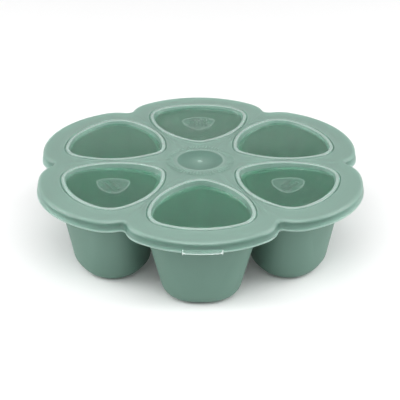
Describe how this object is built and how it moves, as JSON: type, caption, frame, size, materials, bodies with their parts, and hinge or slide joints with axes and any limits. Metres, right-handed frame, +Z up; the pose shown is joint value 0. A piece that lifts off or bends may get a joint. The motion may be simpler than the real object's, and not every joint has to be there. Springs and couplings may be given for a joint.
{
  "type": "baby food freezer tray",
  "caption": "Flower-shaped silicone portion tray for freezing baby food, with a translucent press-on cover whose recessed windows lie over the cups.",
  "frame": {"origin": "middle of the tray, on the plane that the cup bottoms stand on", "axes": "+Z up, -Y towards the cell with the pull tab (the front), +X to the right seen from the front"},
  "size_m": [0.2002, 0.2124, 0.0573],
  "materials": {
    "tray_silicone": "satin, slightly translucent",
    "cover_plastic": "frosted, translucent",
    "window_plastic": "polished, clear",
    "badge_plastic": "fine-frosted"
  },
  "bodies": {
    "tray": {"tray_deck": "tray_silicone", "cup_front": "tray_silicone", "cup_front_right": "tray_silicone", "cup_back_right": "tray_silicone", "cup_back": "tray_silicone", "cup_back_left": "tray_silicone", "cup_front_left": "tray_silicone"},
    "lid": {"lid_cover": "cover_plastic", "window_front": "window_plastic", "window_front_right": "window_plastic", "window_back_right": "window_plastic", "window_back": "window_plastic", "window_back_left": "window_plastic", "window_front_left": "window_plastic", "badge_front_right": "badge_plastic", "badge_back": "badge_plastic", "badge_front_left": "badge_plastic"}
  },
  "joints": [
    {"name": "lid_lift", "type": "slide", "parent": "tray", "child": "lid", "axis": [0, 0, 1], "range_m": [0, 0.06]}
  ]
}
